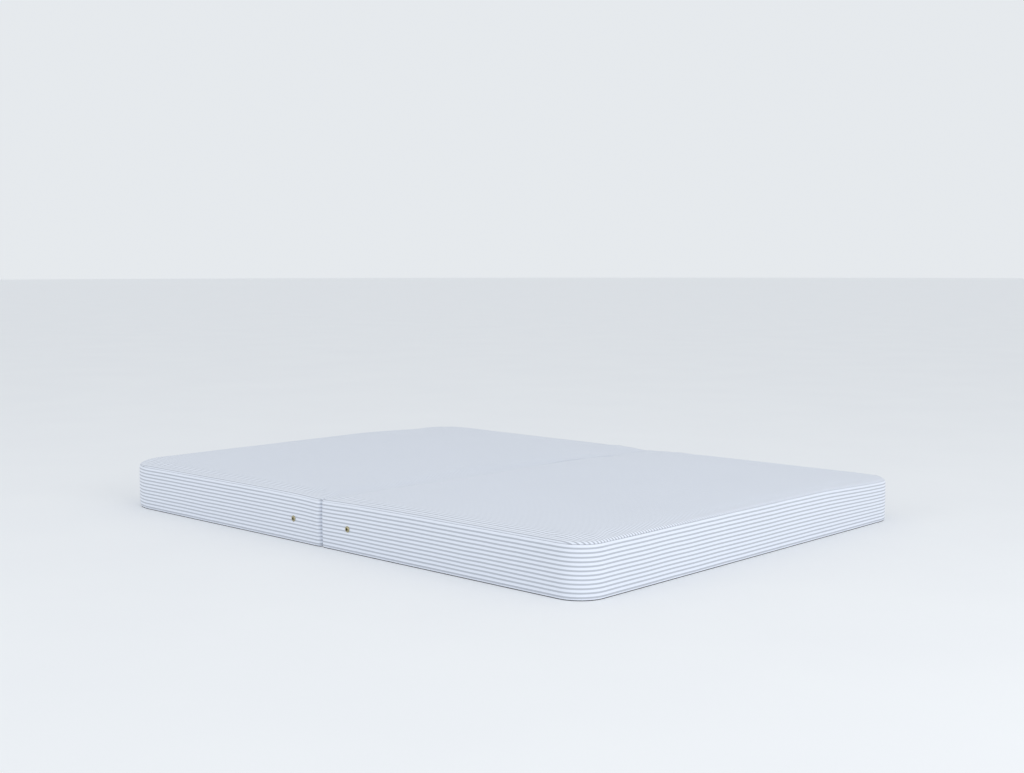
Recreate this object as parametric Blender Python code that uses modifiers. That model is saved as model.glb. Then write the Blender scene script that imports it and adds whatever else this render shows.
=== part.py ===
"""Two-part upholstered bed base in striped ticking, metres, +Z up.

Each half is a softwood frame with bent corner pieces, housed cross slats, a
hardboard deck, a felt pad and a ticking cover.  The halves meet across the bed.
The foot is at -X, the head at +X.  The origin is on the ground at the middle.

Each half is drawn in its own frame and hangs on an empty at the meeting face:
x runs from the meeting face to the outer end, y across the bed.
"""

import math

import bmesh
import bpy
from mathutils import Matrix, Vector

# Overall size of the base.
LENGTH = 2.000
WIDTH = 1.500
HEIGHT = 0.140
CROWN = 0.006
CROWN_REACH = 0.075
FOOT_SHARE = 0.52

# Rounding of the cover.
OUTER_RADIUS = 0.174
INNER_RADIUS = 0.048
EDGE_RADIUS = 0.014
SEAM_ANGLE = 45.0
SEAM_GAP = 0.0008

# Cloth and felt.
TICKING = 0.0015
EDGE_FELT = 0.004
BOTTOM_CLOTH = 0.001
BOTTOM_CLOTH_INSET = 0.002
HEM_SHORT_OF_RAIL = 0.003
PAD = 0.028

# Timber.
TIMBER = 0.021
DECK = 0.0032
TONGUE_WIDTH = 0.007
TONGUE_LENGTH = 0.020
HOUSING = 0.006
SLAT_WIDTH = 0.070
SLAT_THICKNESS = 0.016
SLAT_COUNT = 5
SLAT_SHY = 0.002

# Brass air vents in the long sides.
VENT_FROM_SPLIT = 0.118
VENT_HEIGHT_SHARE = 0.47
VENT_FLANGE_RADIUS = 0.008
VENT_BARREL_RADIUS = 0.005
VENT_BORE_RADIUS = 0.0035
VENT_BARREL_INTO_RAIL = 0.012
GAUZE_THICKNESS = 0.0005

# Gap left between pieces that touch, and how far a cutter runs past a face.
FIT = 0.0003
PAST = 0.004

OUTER_STEPS = 12
INNER_STEPS = 6
EDGE_STEP = 15
ROUND_STEPS = 24

# Heights and insets that follow from the sizes above.
HEM_BOTTOM = BOTTOM_CLOTH + FIT
FRAME_BOTTOM = HEM_BOTTOM + TICKING + FIT
COVER_SKIN = TICKING + FIT
PAD_BOTTOM = HEIGHT - COVER_SKIN - PAD
DECK_TOP = PAD_BOTTOM - FIT
DECK_BOTTOM = DECK_TOP - DECK
FRAME_TOP = DECK_BOTTOM - FIT
FRAME_INSET = COVER_SKIN + EDGE_FELT + FIT
HEM = FRAME_INSET + TIMBER - HEM_SHORT_OF_RAIL
RAIL_HEIGHT = FRAME_TOP - FRAME_BOTTOM
RAIL_MIDDLE = (FRAME_TOP + FRAME_BOTTOM) / 2
RAIL_INSET = FRAME_INSET + TIMBER / 2
EDGE_START = HEIGHT - EDGE_RADIUS
SPLIT_X = LENGTH * FOOT_SHARE - LENGTH / 2
SHARPEST = 0.004

for old in list(bpy.data.objects):
    bpy.data.objects.remove(old)

BASE = bpy.data.collections.new("bed_base")
CUTTERS = bpy.data.collections.new("cutters")
bpy.context.scene.collection.children.link(BASE)
bpy.context.scene.collection.children.link(CUTTERS)


def make_material(name, colour, roughness, metallic=0.0):
    material = bpy.data.materials.new(name)
    material.use_nodes = True
    shader = material.node_tree.nodes["Principled BSDF"]
    shader.inputs["Base Color"].default_value = (*colour, 1.0)
    shader.inputs["Roughness"].default_value = roughness
    shader.inputs["Metallic"].default_value = metallic
    return material


TICKING_CLOTH = make_material("ticking", (0.78, 0.81, 0.89), 0.85)
WOOL_FELT = make_material("felt", (0.42, 0.41, 0.39), 0.95)
COTTON_FELT = make_material("pad_felt", (0.80, 0.77, 0.70), 0.95)
DUST_CLOTH = make_material("dust_cloth", (0.06, 0.06, 0.07), 0.9)
SOFTWOOD = make_material("softwood", (0.66, 0.47, 0.27), 0.6)
HARDBOARD = make_material("hardboard", (0.30, 0.18, 0.10), 0.7)
BRASS = make_material("brass", (0.72, 0.53, 0.22), 0.3, 1.0)


def quarter_turn(steps, start=0):
    """Angles of a quarter circle, in radians."""
    return [math.radians(start + 90 * step / steps) for step in range(steps + 1)]


def cover_plan(length, inset):
    """Plan of a half's cover moved inward by inset, anticlockwise from above."""
    inner = max(INNER_RADIUS - inset, SHARPEST)
    outer = max(OUTER_RADIUS - inset, SHARPEST)
    corners = (
        (inner, -1, inset + inner, 180, INNER_STEPS),
        (outer, -1, length - inset - outer, 270, OUTER_STEPS),
        (outer, 1, length - inset - outer, 0, OUTER_STEPS),
        (inner, 1, inset + inner, 90, INNER_STEPS),
    )
    points = []
    for radius, side, centre_x, start, steps in corners:
        centre_y = side * (WIDTH / 2 - inset - radius)
        for turn in quarter_turn(steps, start):
            x = centre_x + radius * math.cos(turn)
            y = centre_y + radius * math.sin(turn)
            points.append((x, y))
    return points


def bent_corner(radius, steps):
    """Plan of a quarter-round corner piece with a tongue at each end.

    It is drawn about the bend's centre for the corner towards +x, +y.
    """
    inside = radius - TIMBER
    low = radius - TIMBER / 2 - TONGUE_WIDTH / 2
    high = radius - TIMBER / 2 + TONGUE_WIDTH / 2
    turns = quarter_turn(steps)
    points = [(radius * math.cos(turn), radius * math.sin(turn)) for turn in turns]
    points += [(0, high), (-TONGUE_LENGTH, high), (-TONGUE_LENGTH, low), (0, low)]
    points += [(inside * math.cos(turn), inside * math.sin(turn)) for turn in turns[::-1]]
    points += [(low, 0), (low, -TONGUE_LENGTH), (high, -TONGUE_LENGTH), (high, 0)]
    return points


def flat_outline(name, points, thickness):
    """A flat closed outline with thickness, centred on its own height."""
    curve = bpy.data.curves.new(name, "CURVE")
    curve.dimensions = "2D"
    curve.fill_mode = "BOTH"
    curve.extrude = thickness / 2
    spline = curve.splines.new("POLY")
    spline.points.add(len(points) - 1)
    for knot, (x, y) in zip(spline.points, points):
        knot.co = (x, y, 0, 1)
    spline.use_cyclic_u = True
    return curve


def mesh_from(name, form):
    mesh = bpy.data.meshes.new(name)
    form.to_mesh(mesh)
    form.free()
    return mesh


def boards(name, places):
    """One or more separate boards in one mesh, from (centre, size) pairs."""
    form = bmesh.new()
    for centre, size in places:
        stretch = Matrix.Diagonal((*size, 1))
        bmesh.ops.create_cube(form, size=1, matrix=Matrix.Translation(centre) @ stretch)
    return mesh_from(name, form)


def board(name, size):
    return boards(name, [((0, 0, 0), size)])


def disc(name, radius, thickness):
    """A round blank, centred on its origin, with its axis along z."""
    form = bmesh.new()
    bmesh.ops.create_cone(
        form,
        cap_ends=True,
        segments=ROUND_STEPS,
        radius1=radius,
        radius2=radius,
        depth=thickness,
    )
    return mesh_from(name, form)


def sweep(name, length, section, close_bottom=False, close_top=False):
    """Loft (inset, height) points round the plan, from the underside upward."""
    form = bmesh.new()
    rings = []
    for inset, height in section:
        plan = cover_plan(length, inset)
        rings.append([form.verts.new((x, y, height)) for x, y in plan])
    for lower, upper in zip(rings, rings[1:]):
        count = len(lower)
        for here in range(count):
            after = (here + 1) % count
            form.faces.new((lower[here], lower[after], upper[after], upper[here]))
    if close_bottom:
        form.faces.new(rings[0][::-1])
    if close_top:
        form.faces.new(rings[-1])
    mesh = mesh_from(name, form)
    mesh.shade_smooth()
    mesh.set_sharp_from_angle(angle=math.radians(40))
    return mesh


def eyelet(name):
    """Half section of a vent, from its mouth over the flange to its bore."""
    barrel_end = -(FRAME_INSET + VENT_BARREL_INTO_RAIL)
    profile = (
        (VENT_BORE_RADIUS + 0.0008, 0.0021),
        (VENT_FLANGE_RADIUS - 0.0020, 0.0019),
        (VENT_FLANGE_RADIUS - 0.0004, 0.0011),
        (VENT_FLANGE_RADIUS, FIT),
        (VENT_BARREL_RADIUS, FIT),
        (VENT_BARREL_RADIUS, barrel_end),
        (VENT_BORE_RADIUS, barrel_end),
        (VENT_BORE_RADIUS, 0.0015),
    )
    form = bmesh.new()
    knots = [form.verts.new((radius, 0, height)) for radius, height in profile]
    for first, second in zip(knots, knots[1:] + knots[:1]):
        form.edges.new((first, second))
    return mesh_from(name, form)


def edge_arc(depth, first, last):
    """The rounded top edge, seen in section, depth inside the outer face."""
    radius = EDGE_RADIUS - depth
    between = [angle for angle in range(0, 90, EDGE_STEP) if first < angle < last]
    points = []
    for angle in (first, *between, last):
        turn = math.radians(angle)
        inset = EDGE_RADIUS - radius * math.cos(turn)
        points.append((inset, EDGE_START + radius * math.sin(turn)))
    return points


def crown(depth):
    """The crowned top from the edge inward, seen in section."""
    points = []
    for share in (0.3, 0.65, 1.0):
        rise = CROWN * (1 - (1 - share) ** 2)
        points.append((EDGE_RADIUS + CROWN_REACH * share, HEIGHT + rise - depth))
    return points


class Half:
    """One half of the base, with the empty that carries its pieces."""

    def __init__(self, name, length, turned_about):
        self.name = name
        self.length = length - FIT / 2
        self.near = 1 if turned_about else -1
        self.empty = bpy.data.objects.new(name + "_half", None)
        self.empty.location.x = SPLIT_X - self.near * FIT / 2
        self.empty.rotation_euler.z = math.pi if turned_about else 0
        BASE.objects.link(self.empty)

    def sides(self):
        """Name and y direction of the two long sides."""
        return (("near", self.near), ("far", -self.near))

    def place(self, part, data, material, location=(0, 0, 0), rotation=(0, 0, 0)):
        thing = bpy.data.objects.new(self.name + "_" + part, data)
        BASE.objects.link(thing)
        self.carry(thing, location, rotation)
        if not data.materials:
            data.materials.append(material)
        return thing

    def place_cutter(self, part, data, location=(0, 0, 0), rotation=(0, 0, 0)):
        thing = bpy.data.objects.new(self.name + "_" + part, data)
        CUTTERS.objects.link(thing)
        self.carry(thing, location, rotation)
        thing.hide_render = True
        thing.display_type = "WIRE"
        return thing

    def carry(self, thing, location, rotation):
        thing.parent = self.empty
        thing.location = location
        thing.rotation_euler = rotation


def cut(thing, tool):
    modifier = thing.modifiers.new(tool.name, "BOOLEAN")
    modifier.operation = "DIFFERENCE"
    modifier.solver = "EXACT"
    modifier.object = tool


def thicken(thing, thickness):
    """Give an open outer face its thickness, inward."""
    modifier = thing.modifiers.new("thickness", "SOLIDIFY")
    modifier.thickness = thickness
    modifier.offset = -1
    modifier.use_even_offset = True
    modifier.use_quality_normals = True


def build_rails(half):
    """Side, end, meeting and centre rails, slotted for the corners' tongues."""
    far_bend = half.length - OUTER_RADIUS
    side_y = WIDTH / 2 - RAIL_INSET
    side_board = board("side_rail", (far_bend - INNER_RADIUS - 2 * FIT, TIMBER, RAIL_HEIGHT))
    rails = {}
    for label, side in half.sides():
        place = ((far_bend + INNER_RADIUS) / 2, side * side_y, RAIL_MIDDLE)
        rails[label] = half.place("side_rail_" + label, side_board, SOFTWOOD, place)

    ends = (
        ("end", half.length - RAIL_INSET, OUTER_RADIUS),
        ("meeting", RAIL_INSET, INNER_RADIUS),
    )
    for label, x, bend in ends:
        across = board(label + "_rail", (TIMBER, WIDTH - 2 * bend - 2 * FIT, RAIL_HEIGHT))
        rails[label] = half.place(label + "_rail", across, SOFTWOOD, (x, 0, RAIL_MIDDLE))

    housing_floor = FRAME_INSET + TIMBER - HOUSING
    centre_length = half.length - 2 * (housing_floor + FIT)
    centre_board = board("centre_rail", (centre_length, TIMBER, RAIL_HEIGHT))
    place = (half.length / 2, 0, RAIL_MIDDLE)
    rails["centre"] = half.place("centre_rail", centre_board, SOFTWOOD, place)

    width = TONGUE_WIDTH + 2 * FIT
    depth = TONGUE_LENGTH + FIT + PAST
    tall = RAIL_HEIGHT + 2 * PAST
    slots = []
    for side in (-1, 1):
        for bend, inward in ((INNER_RADIUS, 1), (far_bend, -1)):
            x = bend + inward * (depth / 2 - PAST)
            slots.append(((x, side * side_y, RAIL_MIDDLE), (depth, width, tall)))
        for label, x, bend in ends:
            y = side * (WIDTH / 2 - bend - depth / 2 + PAST)
            slots.append(((x, y, RAIL_MIDDLE), (width, depth, tall)))
    slot_tool = half.place_cutter("tongue_slots", boards("tongue_slots", slots))
    for label in ("near", "far", "end", "meeting"):
        cut(rails[label], slot_tool)

    middle = housing_floor + (HOUSING + PAST) / 2
    size = (HOUSING + PAST, TIMBER + 2 * FIT, tall)
    housings = [((x, 0, RAIL_MIDDLE), size) for x in (middle, half.length - middle)]
    housing_tool = half.place_cutter("housings", boards("housings", housings))
    for label in ("end", "meeting"):
        cut(rails[label], housing_tool)
    return rails


def build_corners(half):
    """Four bent corner pieces whose tongues enter the rails' end slots."""
    bends = (
        ("inner", INNER_RADIUS, INNER_STEPS, INNER_RADIUS, -1),
        ("outer", OUTER_RADIUS, OUTER_STEPS, half.length - OUTER_RADIUS, 1),
    )
    for label, radius, steps, centre_x, towards in bends:
        plan = bent_corner(radius - FRAME_INSET, steps)
        piece = flat_outline(label + "_corner", plan, RAIL_HEIGHT)
        for name, side in half.sides():
            place = (centre_x, side * (WIDTH / 2 - radius), RAIL_MIDDLE)
            turn = math.atan2(side, towards) - math.pi / 4
            part = label + "_corner_" + name
            half.place(part, piece, SOFTWOOD, place, (0, 0, turn))


def build_slats(half, rails):
    """Cross slats let in flush with the tops of the side and centre rails."""
    first = INNER_RADIUS + TONGUE_LENGTH + SLAT_WIDTH
    last = half.length - OUTER_RADIUS - TONGUE_LENGTH - SLAT_WIDTH
    across = WIDTH - 2 * (FRAME_INSET + SLAT_SHY)
    slat = board("slat", (SLAT_WIDTH, across, SLAT_THICKNESS))
    notch = (SLAT_WIDTH + 2 * FIT, WIDTH, SLAT_THICKNESS + FIT + PAST)
    notches = []
    for index in range(SLAT_COUNT):
        x = first + (last - first) * index / (SLAT_COUNT - 1)
        place = (x, 0, FRAME_TOP - SLAT_THICKNESS / 2)
        half.place("slat_" + str(index + 1), slat, SOFTWOOD, place)
        notches.append(((x, 0, FRAME_TOP + (PAST - SLAT_THICKNESS - FIT) / 2), notch))
    tool = half.place_cutter("slat_notches", boards("slat_notches", notches))
    for label in ("near", "far", "centre"):
        cut(rails[label], tool)


def build_cover(half):
    """Deck, felts, pad and the sewn ticking cover."""
    plan = cover_plan(half.length, FRAME_INSET)
    place = (0, 0, (DECK_BOTTOM + DECK_TOP) / 2)
    half.place("deck", flat_outline("deck", plan, DECK), HARDBOARD, place)

    plan = cover_plan(half.length, BOTTOM_CLOTH_INSET)
    cloth = flat_outline("bottom_cloth", plan, BOTTOM_CLOTH)
    half.place("bottom_cloth", cloth, DUST_CLOTH, (0, 0, BOTTOM_CLOTH / 2))

    wall = [(COVER_SKIN, FRAME_BOTTOM), (COVER_SKIN, DECK_TOP)]
    felt = half.place("edge_felt", sweep("edge_felt", half.length, wall), WOOL_FELT)
    thicken(felt, EDGE_FELT)

    section = [(COVER_SKIN, PAD_BOTTOM), *edge_arc(COVER_SKIN, 0, 90), *crown(COVER_SKIN)]
    pad = sweep("pad", half.length, section, close_bottom=True, close_top=True)
    half.place("pad", pad, COTTON_FELT)

    seam_end = SEAM_ANGLE + math.degrees(SEAM_GAP / EDGE_RADIUS)
    section = edge_arc(0, seam_end, 90) + crown(0)
    panel = sweep("top_panel", half.length, section, close_top=True)
    thicken(half.place("top_panel", panel, TICKING_CLOTH), TICKING)

    section = [(HEM, HEM_BOTTOM), (0, HEM_BOTTOM), *edge_arc(0, 0, SEAM_ANGLE)]
    band = sweep("border", half.length, section)
    border = half.place("border", band, TICKING_CLOTH)
    thicken(border, TICKING)
    return felt, border


def build_vents(half, rails, layers):
    """A brass eyelet in each long side, through the cover, felt and side rail."""
    profile = eyelet("vent")
    gauze = disc("gauze", VENT_BORE_RADIUS - FIT, GAUZE_THICKNESS)
    deep = FRAME_INSET + TIMBER + 2 * PAST
    bore = disc("vent_bore", VENT_BARREL_RADIUS + FIT, deep)
    for label, side in half.sides():
        outward = (math.radians(-90 * side), 0, 0)
        place = Vector((VENT_FROM_SPLIT, side * WIDTH / 2, HEIGHT * VENT_HEIGHT_SHARE))
        vent = half.place("vent_" + label, profile, BRASS, place, outward)
        turned = vent.modifiers.new("turned", "SCREW")
        turned.axis = "Z"
        turned.steps = ROUND_STEPS
        turned.render_steps = ROUND_STEPS
        turned.use_merge_vertices = True
        turned.merge_threshold = 0.00001
        turned.use_smooth_shade = True
        half.place("vent_gauze_" + label, gauze, BRASS, place, outward)
        middle = place - Vector((0, side * (deep / 2 - PAST), 0))
        tool = half.place_cutter("vent_bore_" + label, bore, middle, outward)
        for thing in (rails[label], *layers):
            cut(thing, tool)


for base_half in (
    Half("foot", LENGTH * FOOT_SHARE, turned_about=True),
    Half("head", LENGTH * (1 - FOOT_SHARE), turned_about=False),
):
    frame_rails = build_rails(base_half)
    build_corners(base_half)
    build_slats(base_half, frame_rails)
    cover_layers = build_cover(base_half)
    build_vents(base_half, frame_rails, cover_layers)
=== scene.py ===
"""Two-part upholstered bed base in striped ticking: cloth, padding, fittings and finishes round its frame."""

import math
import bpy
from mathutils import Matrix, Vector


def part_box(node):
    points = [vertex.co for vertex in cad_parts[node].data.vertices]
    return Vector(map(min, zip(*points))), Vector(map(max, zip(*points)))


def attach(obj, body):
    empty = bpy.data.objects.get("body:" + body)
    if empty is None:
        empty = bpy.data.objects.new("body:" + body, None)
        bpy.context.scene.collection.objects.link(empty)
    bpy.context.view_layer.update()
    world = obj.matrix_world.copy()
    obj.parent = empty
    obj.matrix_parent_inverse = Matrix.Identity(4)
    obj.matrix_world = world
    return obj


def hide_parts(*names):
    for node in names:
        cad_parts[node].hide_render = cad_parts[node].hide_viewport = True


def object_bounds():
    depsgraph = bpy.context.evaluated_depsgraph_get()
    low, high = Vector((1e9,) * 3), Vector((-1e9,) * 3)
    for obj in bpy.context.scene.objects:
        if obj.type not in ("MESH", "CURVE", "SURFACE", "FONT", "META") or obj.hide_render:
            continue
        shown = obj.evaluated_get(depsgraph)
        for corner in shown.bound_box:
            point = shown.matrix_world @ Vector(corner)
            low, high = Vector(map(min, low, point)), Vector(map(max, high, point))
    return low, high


bl_info = {
    "name": "Striped Bed Base",
    "version": (1, 0, 0),
    "blender": (4, 5, 0),
    "location": "3D View > Sidebar > Bed Base",
    "description": "Builds the ticking cover, felt, timber finishes and brass vents of a bed base in two halves",
    "category": "Object",
}

import bmesh
import bpy
import numpy as np
from bpy.props import (
    FloatProperty,
    FloatVectorProperty,
    IntProperty,
    PointerProperty,
)
from mathutils import Matrix, Vector
from mathutils.kdtree import KDTree

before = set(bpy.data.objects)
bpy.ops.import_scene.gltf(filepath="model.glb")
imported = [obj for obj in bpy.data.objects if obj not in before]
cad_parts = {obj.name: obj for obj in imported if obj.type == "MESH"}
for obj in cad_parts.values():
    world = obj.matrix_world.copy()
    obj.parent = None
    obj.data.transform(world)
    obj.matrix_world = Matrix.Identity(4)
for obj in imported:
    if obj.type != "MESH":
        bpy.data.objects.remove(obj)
CAD_BOX = [list(corner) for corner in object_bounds()]

HALVES = ("foot", "head")
SIDES = ("near", "far")
UV_NAME = "cloth"
MM = 0.001
# The cloth's lip turned into the seam: degrees from the seam, and depth below the surface.
SEAM_LIP = ((0.5, 1.4 * MM), (0.7, 0.5 * MM), (1.5, 0.06 * MM))
STAPLE_WIRE = 0.6 * MM


# ---------------------------------------------------------------- sizes and colours


def from_hex(code):
    """Linear colour from an sRGB hex code such as 'c8b48a'."""
    channels = [int(code[i : i + 2], 16) / 255 for i in (0, 2, 4)]
    return tuple(c / 12.92 if c <= 0.04045 else ((c + 0.055) / 1.055) ** 2.4 for c in channels)


def opaque(code):
    return (*from_hex(code), 1)


def length_prop(name, description, default):
    return FloatProperty(
        name=name, description=description, default=default, min=0, max=3, unit="LENGTH", precision=4
    )


def colour_prop(name, description, code):
    return FloatVectorProperty(
        name=name, description=description, default=from_hex(code), size=3, subtype="COLOR", min=0, max=1
    )


class BedBaseShape(bpy.types.PropertyGroup):
    near_foot: length_prop("Near foot corner", "Plan radius of the near corner at the foot", 0.169)
    near_head: length_prop("Near head corner", "Plan radius of the near corner at the head", 0.077)
    far_head: length_prop("Far head corner", "Plan radius of the far corner at the head", 0.100)
    far_foot: length_prop("Far foot corner", "Plan radius of the far corner at the foot", 0.120)
    split_corner: length_prop("Split corner", "Radius of the corners where the halves meet", 0.016)
    top_edge: length_prop("Top edge", "Radius of the rounded top edge", 0.014)
    split_edge: length_prop("Split edge", "Radius of the top edge where the halves press together", 0.005)
    foot_edge: length_prop("Bottom edge", "Radius of the bottom edge", 0.003)
    cloth: length_prop("Cloth thickness", "Thickness of the ticking", 0.0010)
    crown: length_prop("Crown", "Height that the padded top rises over its edge", 0.006)
    bulge: length_prop("Wall bulge", "How far the padded walls stand out at mid height", 0.0012)
    foot_dip: length_prop("Foot dip", "How far the foot half's top sinks at the far end of the split", 0.012)
    foot_dip_near: length_prop("Near foot dip", "The same at the near end of the split", 0.006)
    head_dip: length_prop("Head dip", "How far the head half's top sinks at the far end of the split", 0.009)
    head_dip_near: length_prop("Near head dip", "The same at the near end of the split", 0.005)
    far_fall: length_prop("Far fall", "How far the top sinks towards the far side", 0.012)
    seam_turn: FloatProperty(
        name="Seam",
        description="Where the seam lies on the rounded edge",
        default=math.radians(38),
        subtype="ANGLE",
    )
    mesh_step: length_prop("Mesh step", "Spacing of the cloth's mesh round the edge", 0.009)


class BedBaseCloth(bpy.types.PropertyGroup):
    pitch: length_prop("Stripe pitch", "Distance from one dark stripe to the next", 0.0107)
    stripe: length_prop("Stripe width", "Width of a dark stripe", 0.0044)
    first: length_prop("First stripe", "Height of the lowest dark stripe's middle", 0.0077)
    light: colour_prop("Light yarn", "Bleached cotton ground, very slightly blue", "e6ebf5")
    dark: colour_prop("Dark yarn", "Blue-grey stripe yarn", "b4b9c3")


class BedBaseMetal(bpy.types.PropertyGroup):
    dome: length_prop("Vent radius", "Outer radius of the brass vent", 0.0088)
    rise: length_prop("Vent rise", "How far the vent's dome stands out", 0.0030)
    wire: length_prop("Gauze wire", "Diameter of the gauze's wire", 0.00016)
    wires: IntProperty(name="Gauze wires", description="Wires each way across a vent", default=11, min=3, max=40)
    staple_gap: length_prop("Staple spacing", "Distance between the dust cloth's staples", 0.045)
    staple_width: length_prop("Staple width", "Width of a staple's crown", 0.011)
    brass: colour_prop("Brass", "Unlacquered brass, darkened by handling", "bdb594")
    tarnish: colour_prop("Tarnish", "Brown tarnish in the brass's hollows", "77705a")


def settings():
    scene = bpy.context.scene
    return scene.bed_base_shape, scene.bed_base_cloth, scene.bed_base_metal


# ---------------------------------------------------------------- node and mesh helpers


def add_node(tree, kind, inputs=None, **values):
    """Add a node, set its properties, then fill or link its inputs by name or number."""
    node = tree.nodes.new(kind)
    for name, value in values.items():
        setattr(node, name, value)
    for key, value in (inputs or {}).items():
        socket = node.inputs[key]
        if isinstance(value, bpy.types.NodeSocket):
            tree.links.new(value, socket)
        else:
            socket.default_value = value
    return node


def math_node(tree, operation, first, second=0.0, clamp=False):
    inputs = {0: first, 1: second}
    return add_node(tree, "ShaderNodeMath", inputs, operation=operation, use_clamp=clamp).outputs[0]


def times(tree, first, second, **more):
    return math_node(tree, "MULTIPLY", first, second, **more)


def plus(tree, first, second):
    return math_node(tree, "ADD", first, second)


def less(tree, first, second, **more):
    return math_node(tree, "SUBTRACT", first, second, **more)


def noise(tree, place, scale, detail, dimensions="3D", **more):
    inputs = {"Vector": place, "Scale": scale, "Detail": detail, **more}
    return add_node(tree, "ShaderNodeTexNoise", inputs, noise_dimensions=dimensions).outputs[0]


def ramp(tree, value, start, end, low, high, kind="LINEAR"):
    inputs = {0: value, 1: start, 2: end, 3: low, 4: high}
    return add_node(tree, "ShaderNodeMapRange", inputs, interpolation_type=kind).outputs[0]


def vector(tree, x=0.0, y=0.0, z=0.0):
    return add_node(tree, "ShaderNodeCombineXYZ", {0: x, 1: y, 2: z}).outputs[0]


def new_material(name, **shader_values):
    """A material with its Principled shader's own sockets set; returns tree and shader too."""
    material = bpy.data.materials.new(name)
    material.use_nodes = True
    tree = material.node_tree
    shader = tree.nodes["Principled BSDF"]
    for key, value in shader_values.items():
        shader.inputs[key.replace("_", " ")].default_value = value
    return material, tree, shader


def set_bump(tree, shader, height, strength, distance):
    bump = add_node(tree, "ShaderNodeBump", {"Height": height, "Strength": strength, "Distance": distance})
    tree.links.new(bump.outputs["Normal"], shader.inputs["Normal"])


def mix_colour(tree, factor, first, second, blend="MIX"):
    inputs = {0: factor, 6: first, 7: second}
    return add_node(tree, "ShaderNodeMix", inputs, data_type="RGBA", blend_type=blend).outputs[2]


def object_place(tree):
    return add_node(tree, "ShaderNodeTexCoord").outputs["Object"]


def cloth_place(tree):
    return add_node(tree, "ShaderNodeUVMap", uv_map=UV_NAME).outputs[0]


def set_colour(tree, shader, factor, first, second):
    tree.links.new(mix_colour(tree, factor, first, second), shader.inputs["Base Color"])


def new_object(name, mesh, material=None):
    thing = bpy.data.objects.new(name, mesh)
    bpy.context.scene.collection.objects.link(thing)
    if material is not None:
        mesh.materials.clear()
        mesh.materials.append(material)
    return thing


def made_plain(thing):
    """Turn an object with modifiers into one plain mesh, and drop the modifiers."""
    depsgraph = bpy.context.evaluated_depsgraph_get()
    depsgraph.update()
    evaluated = thing.evaluated_get(depsgraph)
    mesh = bpy.data.meshes.new_from_object(evaluated, preserve_all_data_layers=True, depsgraph=depsgraph)
    thing.modifiers.clear()
    old = thing.data
    thing.data = mesh
    if isinstance(old, bpy.types.Mesh) and not old.users:
        bpy.data.meshes.remove(old)
    mesh.name = thing.name
    return thing


def formed(name, form):
    """A mesh from a bmesh, which is then freed."""
    mesh = bpy.data.meshes.new(name)
    form.to_mesh(mesh)
    form.free()
    return mesh


def smooth(mesh):
    mesh.polygons.foreach_set("use_smooth", np.ones(len(mesh.polygons), bool))


def smoothstep(value):
    t = np.clip(value, 0, 1)
    return t * t * (3 - 2 * t)


# ---------------------------------------------------------------- plan of a half


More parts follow.
